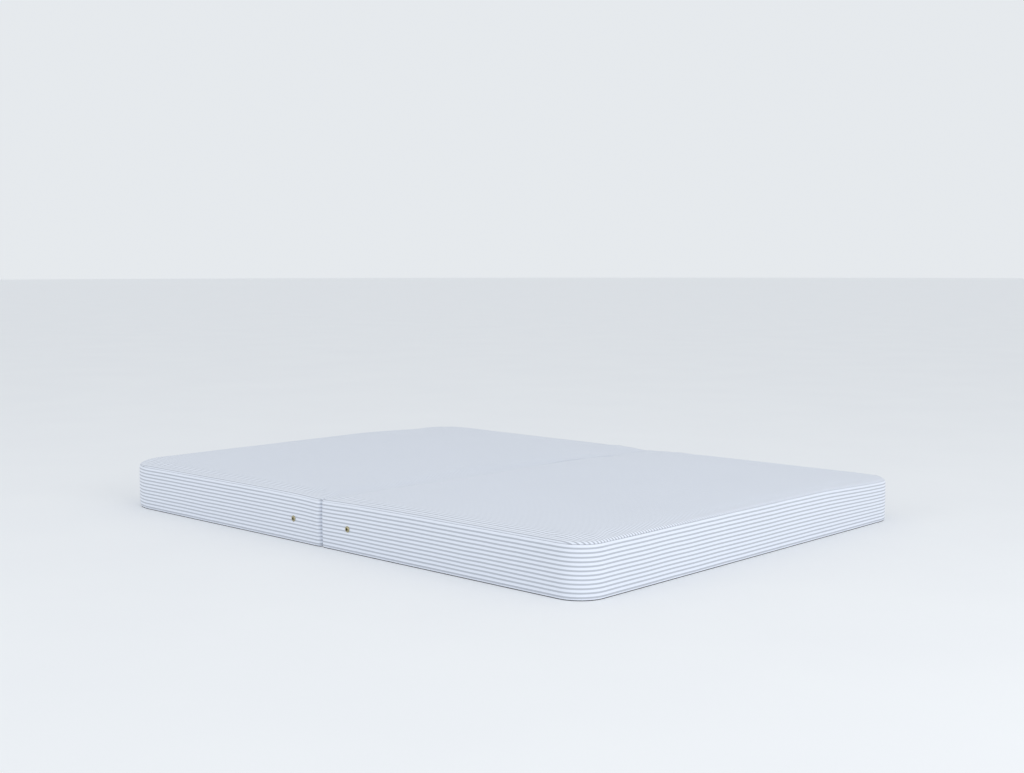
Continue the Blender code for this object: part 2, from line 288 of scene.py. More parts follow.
class Plan:
    """The outline of one half from above, anticlockwise, with a matching ring at any inset."""

    LEAST_BEND = 0.004
    # How far round a corner, as the outward normal's share, the halves start and finish pressing.
    PRESS_START, PRESS_SPAN = 0.25, 0.65
    DIP_REACH = {"foot": 0.11, "head": 0.15}
    DIP_POWER = 1.3
    FALL_START, FALL_SPAN = 0.25, 0.45

    def __init__(self, half):
        shape = bpy.context.scene.bed_base_shape
        low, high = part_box(half + "_border")
        self.half = half
        self.low, self.high = low, high
        self.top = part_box(half + "_top_panel")[1].z - shape.crown
        outer_first = half == "foot"
        self.meeting = high.x if outer_first else low.x
        inner = shape.split_corner
        radii = (inner, shape.near_head, shape.far_head, inner)
        if outer_first:
            radii = (shape.near_foot, inner, inner, shape.far_foot)
        self.corners = []
        for index, radius in enumerate(radii):
            right, back = index in (1, 2), index in (2, 3)
            steps = max(6, math.ceil(radius * math.pi / 2 / shape.mesh_step))
            self.corners.append((right, back, radius, 180 + 90 * index, steps))
        self.count = len(self.ring(0.0))
        self.outline = self.ring(0.0)
        ahead = np.roll(self.outline, -1, 0) - self.outline
        behind = self.outline - np.roll(self.outline, 1, 0)
        lengths = np.linalg.norm(ahead, axis=1)
        along = ahead / lengths[:, None] + behind / np.linalg.norm(behind, axis=1)[:, None]
        along /= np.linalg.norm(along, axis=1)[:, None]
        self.outward = np.stack([along[:, 1], -along[:, 0]], 1)
        self.run = np.concatenate([[0.0], np.cumsum(lengths)])
        towards = 1.0 if outer_first else -1.0
        facing = self.outward[:, 0] * towards
        self.pressed = smoothstep((facing - self.PRESS_START) / self.PRESS_SPAN)
        self.pressed *= np.abs(self.outline[:, 0] - self.meeting) < shape.split_corner + MM
        self.edge = shape.top_edge + (shape.split_edge - shape.top_edge) * self.pressed

    def corner(self, entry, inset):
        right, back, radius, start, steps = entry
        bend = max(radius - inset, self.LEAST_BEND)
        x = self.high.x - inset - bend if right else self.low.x + inset + bend
        y = self.high.y - inset - bend if back else self.low.y + inset + bend
        turns = np.radians(start + 90 * np.arange(steps + 1) / steps)
        return np.stack([x + bend * np.cos(turns), y + bend * np.sin(turns)], 1)

    def ring(self, inset):
        """Plan points moved inward by inset, always the same number of them."""
        step = bpy.context.scene.bed_base_shape.mesh_step
        arcs = [self.corner(entry, inset) for entry in self.corners]
        full = [self.corner(entry, 0.0) for entry in self.corners]
        points = []
        for index, arc in enumerate(arcs):
            after = (index + 1) % 4
            gap = np.linalg.norm(full[after][0] - full[index][-1])
            between = max(2, math.ceil(gap / step))
            shares = np.arange(1, between)[:, None] / between
            points.append(arc)
            points.append(arc[-1] + (arcs[after][0] - arc[-1]) * shares)
        return np.concatenate(points)

    def drop(self, x, y):
        """How far the worn top lies below its level height at each point."""
        shape = bpy.context.scene.bed_base_shape
        away = np.abs(np.asarray(x) - self.meeting)
        across = (np.asarray(y) - self.low.y) / (self.high.y - self.low.y)
        near, far = shape.foot_dip_near, shape.foot_dip
        if self.half == "head":
            near, far = shape.head_dip_near, shape.head_dip
        deep = near + (far - near) * across
        dip = deep * np.exp(-((away / self.DIP_REACH[self.half]) ** self.DIP_POWER))
        fall = shape.far_fall * smoothstep((np.asarray(y) - self.FALL_START) / self.FALL_SPAN)
        return dip + fall


def pucker(run, strength):
    """A small fixed ripple along a seam; its wavelengths in metres never fall into step."""
    slow = np.sin(run / 0.051) + 0.7 * np.sin(run / 0.0233 + 1.7)
    return strength * np.sin(run / 0.0058 + 1.4 * slow) * (0.55 + 0.45 * np.sin(run / 0.117 + slow))


def undulation(x, y):
    """Gentle lumps of the padding, between about -1 and 1."""
    waves = np.sin(x / 0.071 + 1.9 * np.sin(y / 0.163)) + np.sin(y / 0.058 + 1.6 * np.sin(x / 0.191 + 0.8))
    return 0.5 * waves * (0.6 + 0.4 * np.sin(x / 0.31 + y / 0.27))


def lofted(name, rings, across, along, close_last=False):
    """Mesh through matching rings of points; across and along hold the cloth's coordinates by row."""
    count = len(rings[0])
    points = np.concatenate(rings)
    faces, where = [], []
    for row in range(len(rings) - 1):
        for here in range(count):
            after = (here + 1) % count
            base, upper = row * count, (row + 1) * count
            faces.append((base + here, base + after, upper + after, upper + here))
            where.append((row, here))
    if close_last:
        faces.append(tuple(range((len(rings) - 1) * count, len(rings) * count)))
    mesh = bpy.data.meshes.new(name)
    mesh.from_pydata(points.tolist(), [], faces)
    layer = mesh.uv_layers.new(name=UV_NAME)
    values = np.zeros((len(mesh.loops), 2))
    index = 0
    for row, here in where:
        for step_row, step_here in ((0, 0), (0, 1), (1, 1), (1, 0)):
            lengthwise, widthwise = along[row + step_row], across[row + step_row]
            column = here + step_here
            values[index] = (lengthwise[column % len(lengthwise)], widthwise[column % count])
            index += 1
    if close_last:
        for here in range(count):
            values[index] = (along[-1][here], across[-1][here])
            index += 1
    layer.data.foreach_set("uv", values.ravel())
    smooth(mesh)
    return mesh


def loose_cloth(name, mesh, thickness, material):
    """Give an outer face of cloth its thickness, inward, as one closed mesh."""
    thing = new_object(name, mesh, material)
    solid = thing.modifiers.new("thickness", "SOLIDIFY")
    solid.thickness = thickness
    solid.offset = -1
    solid.use_even_offset = True
    solid.use_quality_normals = True
    return thing


# ---------------------------------------------------------------- finishes


def ticking():
    """Cotton ticking, woven in a twill: a matt, slightly furry face with soft-edged blue-grey stripes."""
    _, cloth, _ = settings()
    material, tree, shader = new_material(
        "striped_cotton_ticking", Roughness=0.92, Sheen_Weight=0.25, Sheen_Roughness=0.6, Specular_IOR_Level=0.25
    )
    uv = cloth_place(tree)
    split = add_node(tree, "ShaderNodeSeparateXYZ", {0: uv})
    along, across = split.outputs[0], split.outputs[1]

    # The stripes wander by a fraction of a millimetre, as woven and stretched cloth does.
    drift = noise(tree, uv, 9.0, 2.0, "2D")
    wander = times(tree, less(tree, drift, 0.5), 1.2 * MM)
    height = plus(tree, across, wander)
    turns = math_node(tree, "DIVIDE", less(tree, height, cloth.first), cloth.pitch)
    nearest = math_node(tree, "ROUND", turns)
    away = math_node(tree, "ABSOLUTE", less(tree, turns, nearest))
    half = cloth.stripe / cloth.pitch / 2
    soft = 0.55 * MM / cloth.pitch
    stripe = ramp(tree, away, half - soft, half + soft, 1.0, 0.0, "SMOOTHSTEP")

    # Yarns are 0.45 mm apart; the twill's ribs are drawn 1.8 mm apart so that they show.
    rib_gap = 1.8 * MM
    rib_line = plus(tree, times(tree, along, 0.5), across)
    rib = math_node(tree, "SINE", times(tree, rib_line, 2 * math.pi / rib_gap))
    rib = plus(tree, times(tree, rib, 0.5), 0.5)
    slub = noise(tree, uv, 420.0, 3.0, "2D", Roughness=0.6)

    light, dark = (*cloth.light, 1), (*cloth.dark, 1)
    colour = mix_colour(tree, times(tree, stripe, 0.94), light, dark)
    ribbed, slubbed = times(tree, rib, 0.05), times(tree, slub, 0.10)
    shade = plus(tree, ribbed, slubbed)
    worn = noise(tree, uv, 3.1, 4.0, "2D")
    shade = plus(tree, shade, times(tree, worn, 0.05))
    grey = less(tree, 1.10, shade, clamp=True)
    tone = add_node(tree, "ShaderNodeCombineColor", {0: grey, 1: grey, 2: grey}).outputs[0]
    colour = mix_colour(tree, 1.0, colour, tone, "MULTIPLY")
    tree.links.new(colour, shader.inputs["Base Color"])
    relief = plus(tree, rib, times(tree, slub, 0.8))
    set_bump(tree, shader, relief, 0.35, 0.25 * MM)
    return material


def fibrous(name, base, fleck, scale, roughness, bump):
    """Needled felt or card: short random fibres, no gloss, flecks of another colour."""
    material, tree, shader = new_material(name, Roughness=roughness, Sheen_Weight=0.2, Specular_IOR_Level=0.2)
    place = object_place(tree)
    fine = noise(tree, place, scale, 6.0, Roughness=0.7)
    cells = add_node(tree, "ShaderNodeTexVoronoi", {"Vector": place, "Scale": scale * 0.6}).outputs[0]
    spots = ramp(tree, cells, 0.05, 0.25, 1.0, 0.0)
    amount = times(tree, spots, fine, clamp=True)
    set_colour(tree, shader, amount, opaque(base), opaque(fleck))
    set_bump(tree, shader, fine, bump, 0.6 * MM)
    return material


def softwood(name, lengthways):
    """Planed pine: pale earlywood with darker latewood lines along the board, a dull sawn sheen."""
    material, tree, shader = new_material(name, Roughness=0.62, Specular_IOR_Level=0.35)
    place = object_place(tree)
    # Growth rings are 3 to 5 mm apart across the grain and run on for over a metre along it.
    stretch = (0.03, 1.0, 1.0) if lengthways == "x" else (1.0, 0.03, 1.0)
    grain = add_node(tree, "ShaderNodeMapping", {"Vector": place, "Scale": stretch}).outputs[0]
    bend = times(tree, noise(tree, grain, 14.0, 2.0), 0.35)
    rings = noise(tree, grain, 230.0, 3.0, Distortion=0.6)
    mixed = plus(tree, times(tree, rings, 0.8), bend)
    line = ramp(tree, mixed, 0.45, 0.72, 0.0, 1.0)
    set_colour(tree, shader, line, opaque("d9b98a"), opaque("a9743f"))
    set_bump(tree, shader, rings, 0.25, 0.3 * MM)
    return material


def hardboard():
    """Pressed wood fibre: dark brown, smooth on its face, with short lighter fibres."""
    return fibrous("pressed_hardboard", "5d3f27", "8a6642", 380.0, 0.72, 0.15)


def dust_cloth():
    """Spun-bonded dust cloth: thin, black, with a 2 mm grid of bonded dots, painted lighter as a painted
    highlight for the light they catch.
    """
    material, tree, shader = new_material("spunbonded_dust_cloth", Roughness=0.85, Specular_IOR_Level=0.3)
    uv = cloth_place(tree)
    grid = {"Vector": uv, "Scale": 500.0, "Randomness": 0.0}
    dots = add_node(tree, "ShaderNodeTexVoronoi", grid, voronoi_dimensions="2D").outputs[0]
    spot = ramp(tree, dots, 0.18, 0.30, 1.0, 0.0)
    # The bonded dots are real; their lighter colour is a painted highlight standing in for the light they catch.
    set_colour(tree, shader, spot, opaque("1c1c1f"), opaque("34343a"))
    set_bump(tree, shader, spot, 0.3, 0.1 * MM)
    return material


def aged_brass():
    """Turned brass, unlacquered: a warm metal dulled by handling, browner where it is not rubbed."""
    _, _, metal = settings()
    material, tree, shader = new_material("turned_aged_brass", Metallic=1.0)
    place = object_place(tree)
    cloud = noise(tree, place, 340.0, 5.0)
    patch = ramp(tree, cloud, 0.42, 0.68, 0.0, 0.75)
    set_colour(tree, shader, patch, (*metal.brass, 1), (*metal.tarnish, 1))
    rough = ramp(tree, cloud, 0.3, 0.7, 0.28, 0.5)
    tree.links.new(rough, shader.inputs["Roughness"])
    set_bump(tree, shader, cloud, 0.1, 0.1 * MM)
    return material


def zinc_wire():
    """Galvanised staple wire: cool grey metal with a fine dull grain."""
    material, tree, shader = new_material("galvanised_steel_wire", Metallic=1.0)
    place = object_place(tree)
    grain = noise(tree, place, 900.0, 2.0)
    set_colour(tree, shader, grain, opaque("8d9094"), opaque("c3c6c9"))
    rough = plus(tree, times(tree, grain, 0.2), 0.3)
    tree.links.new(rough, shader.inputs["Roughness"])
    return material


FINISHES = {}


def finish(name, maker, *arguments):
    """Each finish is made once and shared by every piece that has it."""
    if name not in FINISHES:
        FINISHES[name] = maker(*arguments)
    return FINISHES[name]


# ---------------------------------------------------------------- operators


class BEDBASE_OT_timber(bpy.types.Operator):
    """Give the frame's rails, corners, slats and decks their timber and hardboard"""

    bl_idname = "bed_base.timber"
    bl_label = "Timber frame"

    def execute(self, context):
        lengthways = finish("pine_x", softwood, "planed_pine_lengthways", "x")
        crossways = finish("pine_y", softwood, "planed_pine_crossways", "y")
        board = finish("hardboard", hardboard)
        for name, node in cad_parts.items():
            part = name.split("_", 1)[1]
            if part == "deck":
                node.material_slots[0].material = board
            elif part.startswith(("side_rail", "centre_rail")):
                node.material_slots[0].material = lengthways
            elif part.startswith(("end_rail", "meeting_rail", "slat", "outer_corner", "inner_corner")):
                node.material_slots[0].material = crossways
        return {"FINISHED"}


class BEDBASE_OT_edge_felt(bpy.types.Operator):
    """Give the felt that wraps the frame its needled finish"""

    bl_idname = "bed_base.edge_felt"
    bl_label = "Edge felt"

    def execute(self, context):
        felt = finish("felt", fibrous, "needled_wool_felt", "77736c", "a8a39a", 900.0, 0.97, 0.5)
        for half in HALVES:
            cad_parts[half + "_edge_felt"].material_slots[0].material = felt
        return {"FINISHED"}


class BEDBASE_OT_pads(bpy.types.Operator):
    """Build the felt pads under the tops and let them swell"""

    bl_idname = "bed_base.pads"
    bl_label = "Padding"

    VOXEL = 0.012
    FRAMES = 20
    PRESSURE = 4.0
    CLEARANCE = 0.5 * MM
    RINGS = (0.03, 0.06, 0.10, 0.15, 0.20, 0.25, 0.30, 0.35, 0.40, 0.45)

    def execute(self, context):
        cotton = finish("cotton", fibrous, "carded_cotton_felt", "e2dccb", "b7ad95", 500.0, 0.96, 0.6)
        for half in HALVES:
            pad = self.block(Plan(half), half + "_pad_felt", cotton)
            self.swell(context, pad)
            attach(pad, half + "_half")
            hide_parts(half + "_pad")
        return {"FINISHED"}

    def block(self, plan, name, material):
        """The pad before it swells: flat on the deck, level on top, with a rounded upper edge."""
        shape = bpy.context.scene.bed_base_shape
        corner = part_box(plan.half + "_pad")[0]
        skin = corner.x - plan.low.x + self.CLEARANCE
        bottom = corner.z
        top = plan.top - skin
        rings = []
        radius = plan.edge - skin
        for turn in np.radians([0, 30, 60, 90]):
            inset = skin + radius * (1 - math.cos(turn))
            points = plan.outline - plan.outward * inset[:, None]
            rings.append((points, top - radius + radius * math.sin(turn)))
        rings.insert(0, (plan.ring(skin), np.full(plan.count, bottom)))
        for inset in (*self.RINGS, (plan.high.x - plan.low.x) / 2 - 0.02):
            rings.append((plan.ring(inset), np.full(plan.count, top)))
        stacked = []
        for points, height in rings:
            share = np.clip((height - bottom) / (top - bottom), 0, 1)
            lowered = height - plan.drop(points[:, 0], points[:, 1]) * share
            stacked.append(np.column_stack([points, lowered]))
        blank = [np.zeros(plan.count)] * len(stacked)
        mesh = lofted(name, stacked, blank, blank, close_last=True)
        form = bmesh.new()
        form.from_mesh(mesh)
        form.verts.ensure_lookup_table()
        form.faces.new([form.verts[index] for index in range(plan.count)][::-1])
        bmesh.ops.recalc_face_normals(form, faces=form.faces)
        form.to_mesh(mesh)
        form.free()
        pad = new_object(name, mesh, material)
        pad["bottom"] = bottom
        return pad

    def crown(self, plan, pad):
        """Quick stand-in for the swelling: the same rise from the edge inward, without simulation."""
        shape = bpy.context.scene.bed_base_shape
        mesh = pad.data
        start = read_points(mesh)
        low, high = np.array(plan.low.xy), np.array(plan.high.xy)
        inward = np.minimum(start[:, :2] - low, high - start[:, :2]).min(1)
        upper = start[:, 2] > pad["bottom"] + 0.01
        rise = shape.crown * smoothstep((inward - shape.top_edge) / 0.085) * upper
        store_rise(mesh, rise)
        moved = start.copy()
        moved[:, 2] += rise
        write_points(mesh, moved)

    def swell(self, context, pad):
        """Cloth simulation: the pad fills out under its cover, held where it lies on the deck."""
        remesh = pad.modifiers.new("voxels", "REMESH")
        remesh.mode = "VOXEL"
        remesh.voxel_size = self.VOXEL
        made_plain(pad)
        mesh = pad.data
        start = read_points(mesh)
        held = np.where(start[:, 2] < pad["bottom"] + 0.6 * self.VOXEL)[0].tolist()
        group = pad.vertex_groups.new(name="held")
        group.add(held, 1.0, "REPLACE")
        cloth = pad.modifiers.new("swelling", "CLOTH")
        cloth.settings.quality = 4
        cloth.settings.mass = 0.4
        cloth.settings.use_pressure = True
        cloth.settings.uniform_pressure_force = self.PRESSURE
        cloth.settings.vertex_group_mass = "held"
        cloth.settings.effector_weights.gravity = 0.0
        cloth.collision_settings.use_collision = False
        cloth.collision_settings.use_self_collision = False
        cloth.point_cache.frame_end = self.FRAMES
        for number in range(1, self.FRAMES + 1):
            context.scene.frame_set(number)
        evaluated = pad.evaluated_get(context.evaluated_depsgraph_get())
        moved = read_points(evaluated.data)
        pad.modifiers.clear()
        pad.vertex_groups.clear()
        context.scene.frame_set(1)
        # Only upward movement is kept, and it levels off at the crown's height.
        cap = bpy.context.scene.bed_base_shape.crown
        rise = np.maximum(cap * np.tanh((moved[:, 2] - start[:, 2]) / cap), 0.0)
        start[:, 2] += rise
        write_points(mesh, start)
        store_rise(mesh, rise)
        mesh.materials.clear()
        mesh.materials.append(FINISHES["cotton"])
        smooth(mesh)


def read_points(mesh):
    values = np.zeros(len(mesh.vertices) * 3, np.float32)
    mesh.vertices.foreach_get("co", values)
    return values.reshape(-1, 3).astype(float)


def write_points(mesh, points):
    mesh.vertices.foreach_set("co", points.astype(np.float32).ravel())
    mesh.update()


def store_rise(mesh, rise):
    layer = mesh.attributes.get("rise") or mesh.attributes.new("rise", "FLOAT", "POINT")
    layer.data.foreach_set("value", rise.astype(np.float32))


class PadRise:
    """How far the swollen pad lifts the cover at a point of the plan."""

    def __init__(self, pad):
        points = read_points(pad.data)
        rise = np.zeros(len(points), np.float32)
        pad.data.attributes["rise"].data.foreach_get("value", rise)
        level = points[:, 2] - rise
        upper = np.where(level > pad["bottom"] + 0.010)[0]
        self.rise = rise[upper]
        self.tree = KDTree(len(upper))
        for index, source in enumerate(upper):
            self.tree.insert((points[source, 0], points[source, 1], 0.0), index)
        self.tree.balance()

    def at(self, points):
        lifts = []
        for x, y in points:
            found = self.tree.find_n((x, y, 0.0), 8)
            weights = [1.0 / (distance + 0.004) ** 2 for _, _, distance in found]
            total = sum(weight * self.rise[index] for weight, (_, index, _) in zip(weights, found))
            lifts.append(total / sum(weights))
        return np.array(lifts)


class BEDBASE_OT_top_covers(bpy.types.Operator):
    """Stretch the ticking tops over the pads, down to the seam"""

    bl_idname = "bed_base.top_covers"
    bl_label = "Top covers"

    SEAM_ALLOWANCE = 0.02
    EDGE_SHARES = (0.07, 0.16, 0.28, 0.42, 0.58, 0.78, 1.0)
    EDGE_RINGS = (0.018, 0.024, 0.031, 0.040, 0.050, 0.062, 0.075, 0.090)
    FIRST_RING, RING_STEP = 0.110, 0.022
    LUMPS = 0.5 * MM
    PUCKERS = 0.30 * MM

    def execute(self, context):
        cloth = finish("ticking", ticking)
        for half in HALVES:
            plan = Plan(half)
            top = self.top(plan, PadRise(bpy.data.objects[half + "_pad_felt"]), cloth)
            made_plain(top)
            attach(top, half + "_half")
            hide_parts(half + "_top_panel")
        return {"FINISHED"}

    def top(self, plan, lift, material):
        shape = bpy.context.scene.bed_base_shape
        rows = []
        # The lip turned into the seam, then the rounded edge, then rings inward to the middle.
        seam_at = math.degrees(shape.seam_turn)
        rows += [(seam_at + ahead, depth, None) for ahead, depth in SEAM_LIP]
        rows += [(seam_at + (90 - seam_at) * share, 0.0, None) for share in self.EDGE_SHARES]
        middle = (plan.high.x - plan.low.x) / 2
        insets = list(self.EDGE_RINGS)
        step = self.FIRST_RING
        while step < middle - 0.035:
            insets.append(step)
            step += self.RING_STEP
        insets.append(middle - 0.008)
        rows += [(90, 0.0, inset) for inset in insets]
        rings, across, along = [], [], []
        for angle, depth, inset in rows:
            turn = math.radians(angle)
            if inset is None:
                radius = plan.edge - depth
                inward = plan.edge - radius * math.cos(turn)
                points = plan.outline - plan.outward * inward[:, None]
                height = plan.top - plan.edge + radius * math.sin(turn)
                share = smoothstep((angle - seam_at) / (90 - seam_at))
                # The flat cloth lies unrolled from the rounded edge.
                unrolled = plan.edge * (math.pi / 2 - turn) - plan.edge * math.cos(turn)
                seam = max(0.0, 1 - abs(angle - seam_at - 7) / 30)
            else:
                points = plan.ring(inset)
                height = np.full(plan.count, plan.top)
                share, seam = 1.0, 0.0
                unrolled = np.zeros(plan.count)
            rise = lift.at(points) * share
            lumps = self.LUMPS * undulation(points[:, 0], points[:, 1]) * share
            ripple = pucker(plan.run[:-1], self.PUCKERS) * seam * (depth == 0.0)
            lowered = height + rise + lumps + ripple - plan.drop(points[:, 0], points[:, 1])
            rings.append(np.column_stack([points, lowered]))
            flat = points + plan.outward * unrolled[:, None]
            across.append(flat[:, 1] - plan.low.y)
            along.append(flat[:, 0])
        name = plan.half + "_top_ticking"
        mesh = lofted(name, rings, across, along, close_last=True)
        return loose_cloth(name, mesh, shape.cloth, material)


class BEDBASE_OT_borders(bpy.types.Operator):
    """Wrap the striped border round each half and turn its hem under"""

    bl_idname = "bed_base.borders"
    bl_label = "Borders"

    HEM = 0.022
    WALL_ROWS = 14
    TURN_SHARES = (0.2, 0.4, 0.6, 0.8, 0.92)
    WAVES, SEAM_PUCKERS, HEM_PUCKERS = 0.5 * MM, 0.28 * MM, 0.22 * MM
    PUNCH_RADIUS = 5.2 * MM

    def execute(self, context):
        cloth = finish("ticking", ticking)
        for half in HALVES:
            plan = Plan(half)
            border = self.border(plan, cloth)
            cutters = [self.punch(border, half, side) for side in SIDES]
            made_plain(border)
            smooth(border.data)
            for cutter in cutters:
                bpy.data.objects.remove(cutter)
            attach(border, half + "_half")
            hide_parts(half + "_border")
        return {"FINISHED"}

    def border(self, plan, material):
        shape = bpy.context.scene.bed_base_shape
        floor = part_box(plan.half + "_border")[0].z
        bend = shape.foot_edge
        foot = floor + bend
        sections = []
        for inset in (self.HEM, 0.012, 0.006):
            level = np.full(plan.count, floor)
            sections.append((np.full(plan.count, inset), level, floor + bend * 0.57 - inset))
        for angle in (0, 30, 60, 90):
            turn = math.radians(angle)
            inset = np.full(plan.count, bend * (1 - math.sin(turn)))
            height = np.full(plan.count, foot - bend * math.cos(turn))
            sections.append((inset, height, foot - bend * (math.pi / 2 - turn)))
        wall_top = plan.top - plan.edge
        for share in np.linspace(0, 1, self.WALL_ROWS + 1)[1:]:
            height = foot + (wall_top - foot) * share
            sections.append((np.zeros(plan.count), height, height))
        turns = [(shape.seam_turn * share, 0.0) for share in self.TURN_SHARES]
        turns += [(shape.seam_turn - math.radians(short), depth) for short, depth in reversed(SEAM_LIP)]
        for turn, depth in turns:
            radius = plan.edge - depth
            inset = plan.edge - radius * math.cos(turn)
            height = wall_top + radius * math.sin(turn)
            sections.append((inset, height, wall_top + plan.edge * turn))
        free = 1 - plan.pressed
        run = plan.run[:-1]
        rings, across = [], []
        for inset, height, cloth_height in sections:
            share = np.clip((height - foot) / (plan.top - foot), 0, 1)
            belly = np.sin(np.pi * share) * free
            wave = np.sin(run / 0.043 + 1.7 * np.sin(run / 0.19))
            stand_out = shape.bulge * belly + self.WAVES * belly * wave
            seam = np.exp(-((plan.top - height) / 0.012) ** 2)
            stand_out += pucker(run + 0.003, self.SEAM_PUCKERS) * seam * free
            hem = np.exp(-(height - floor) / 0.010)
            stand_out += pucker(run * 0.6, self.HEM_PUCKERS) * hem * free * (inset < MM)
            # The hem's rows are too deep to be moved in along the outline's normals.
            if inset.min() > 0.0045 and np.ptp(inset) == 0:
                base = plan.ring(float(inset[0]))
            else:
                base = plan.outline - plan.outward * inset[:, None]
            points = base + plan.outward * stand_out[:, None]
            lowered = height - plan.drop(points[:, 0], points[:, 1]) * share
            rings.append(np.column_stack([points, lowered]))
            across.append(np.broadcast_to(cloth_height, (plan.count,)))
        name = plan.half + "_border_ticking"
        mesh = lofted(name, rings, across, [plan.run] * len(rings))
        return loose_cloth(name, mesh, shape.cloth, material)

    def punch(self, border, half, side):
        """A hole for the vent's barrel."""
        low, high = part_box(f"{half}_vent_{side}")
        middle = (low + high) / 2
        form = bmesh.new()
        turn = Matrix.Translation(middle) @ Matrix.Rotation(math.pi / 2, 4, "X")
        radius = self.PUNCH_RADIUS
        bmesh.ops.create_cone(
            form, cap_ends=True, segments=32, radius1=radius, radius2=radius, depth=0.08, matrix=turn
        )
        cutter = new_object(f"punch_{half}_{side}", formed("punch", form))
        hole = border.modifiers.new("hole_" + side, "BOOLEAN")
        hole.operation = "DIFFERENCE"
        hole.solver = "EXACT"
        hole.object = cutter
        return cutter


class BEDBASE_OT_dust_cloths(bpy.types.Operator):
    """Close the underside of each half with dust cloth"""

    bl_idname = "bed_base.dust_cloths"
    bl_label = "Dust cloths"

    THICKNESS = 0.4 * MM
    ROWS = 22

    def execute(self, context):
        black = finish("dust_cloth", dust_cloth)
        for half in HALVES:
            plan = Plan(half)
            low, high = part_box(half + "_bottom_cloth")
            inset = low.x - plan.low.x
            rings, across, along = [], [], []
            reach = (plan.high.x - plan.low.x) / 2 - 0.01
            for share in np.linspace(0, 1, self.ROWS) ** 1.5:
                points = plan.ring(inset + (reach - inset) * share)
                lumps = 1 + undulation(points[:, 0] * 3, points[:, 1] * 3)
                slack = 0.15 * MM * lumps * min(1.0, share * 12)
                rings.append(np.column_stack([points, high.z - 0.9 * MM + slack])[::-1])
                across.append(points[::-1, 1])
                along.append(points[::-1, 0])
            name = half + "_dust_cloth"
            mesh = lofted(name, rings, across, along, close_last=True)
            cloth = made_plain(loose_cloth(name, mesh, self.THICKNESS, black))
            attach(cloth, half + "_half")
            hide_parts(half + "_bottom_cloth")
        return {"FINISHED"}


def socket_id(tree, name):
    """Identifier of a tree's named input."""
    return next(
        item.identifier for item in tree.interface.items_tree if item.name == name and item.in_out == "INPUT"
    )


def nodes_tree(name, floats):
    tree = bpy.data.node_groups.new(name, "GeometryNodeTree")
    tree.interface.new_socket("Geometry", in_out="INPUT", socket_type="NodeSocketGeometry")
    for label, default in floats.items():
        kind = "NodeSocketInt" if isinstance(default, int) else "NodeSocketFloat"
        tree.interface.new_socket(label, in_out="INPUT", socket_type=kind).default_value = default
    tree.interface.new_socket("Geometry", in_out="OUTPUT", socket_type="NodeSocketGeometry")
    return tree, add_node(tree, "NodeGroupInput"), add_node(tree, "NodeGroupOutput")


def finish_tree(tree, geometry, made, material):
    """End a tree in real geometry with its material."""
    real = add_node(tree, "GeometryNodeRealizeInstances", {0: geometry}).outputs[0]
    done = add_node(tree, "GeometryNodeSetMaterial", {"Geometry": real, "Material": material})
    tree.links.new(done.outputs[0], made.inputs[0])
    return tree


def staple_tree(material):
    """Staples along a path: a flat crown with two legs, evenly spaced and turned to follow it."""
    sizes = {"Spacing": 0.045, "Width": 0.011, "Wire": STAPLE_WIRE}
    tree, given, made = nodes_tree("staples_along_path", sizes)
    path = add_node(tree, "GeometryNodeMeshToCurve", {"Mesh": given.outputs["Geometry"]}).outputs[0]
    spaced = add_node(
        tree, "GeometryNodeResampleCurve", {"Curve": path, "Length": given.outputs["Spacing"]}, mode="LENGTH"
    ).outputs[0]
    tangent = add_node(tree, "GeometryNodeInputTangent").outputs[0]
    tangent = add_node(tree, "ShaderNodeSeparateXYZ", {0: tangent})
    heading = math_node(tree, "ARCTAN2", tangent.outputs[1], tangent.outputs[0])
    turned = vector(tree, z=heading)
    width, wire = given.outputs["Width"], given.outputs["Wire"]
    crown_size = vector(tree, width, wire, wire)
    crown = add_node(tree, "GeometryNodeMeshCube", {"Size": crown_size}).outputs["Mesh"]
    leg_length = times(tree, wire, 7.0)
    leg_size = vector(tree, wire, wire, leg_length)
    leg = add_node(tree, "GeometryNodeMeshCube", {"Size": leg_size}).outputs["Mesh"]
    parts = [crown]
    reach = less(tree, times(tree, width, 0.5), wire)
    for side in (-1.0, 1.0):
        x = times(tree, reach, side)
        offset = vector(tree, x, z=times(tree, leg_length, 0.55))
        moved = {"Geometry": leg, "Translation": offset}
        parts.append(add_node(tree, "GeometryNodeTransform", moved).outputs[0])
    staple = add_node(tree, "GeometryNodeJoinGeometry")
    for part in parts:
        tree.links.new(part, staple.inputs[0])
    placed = add_node(
        tree,
        "GeometryNodeInstanceOnPoints",
        {"Points": spaced, "Instance": staple.outputs[0], "Rotation": turned},
    ).outputs[0]
    return finish_tree(tree, placed, made, material)


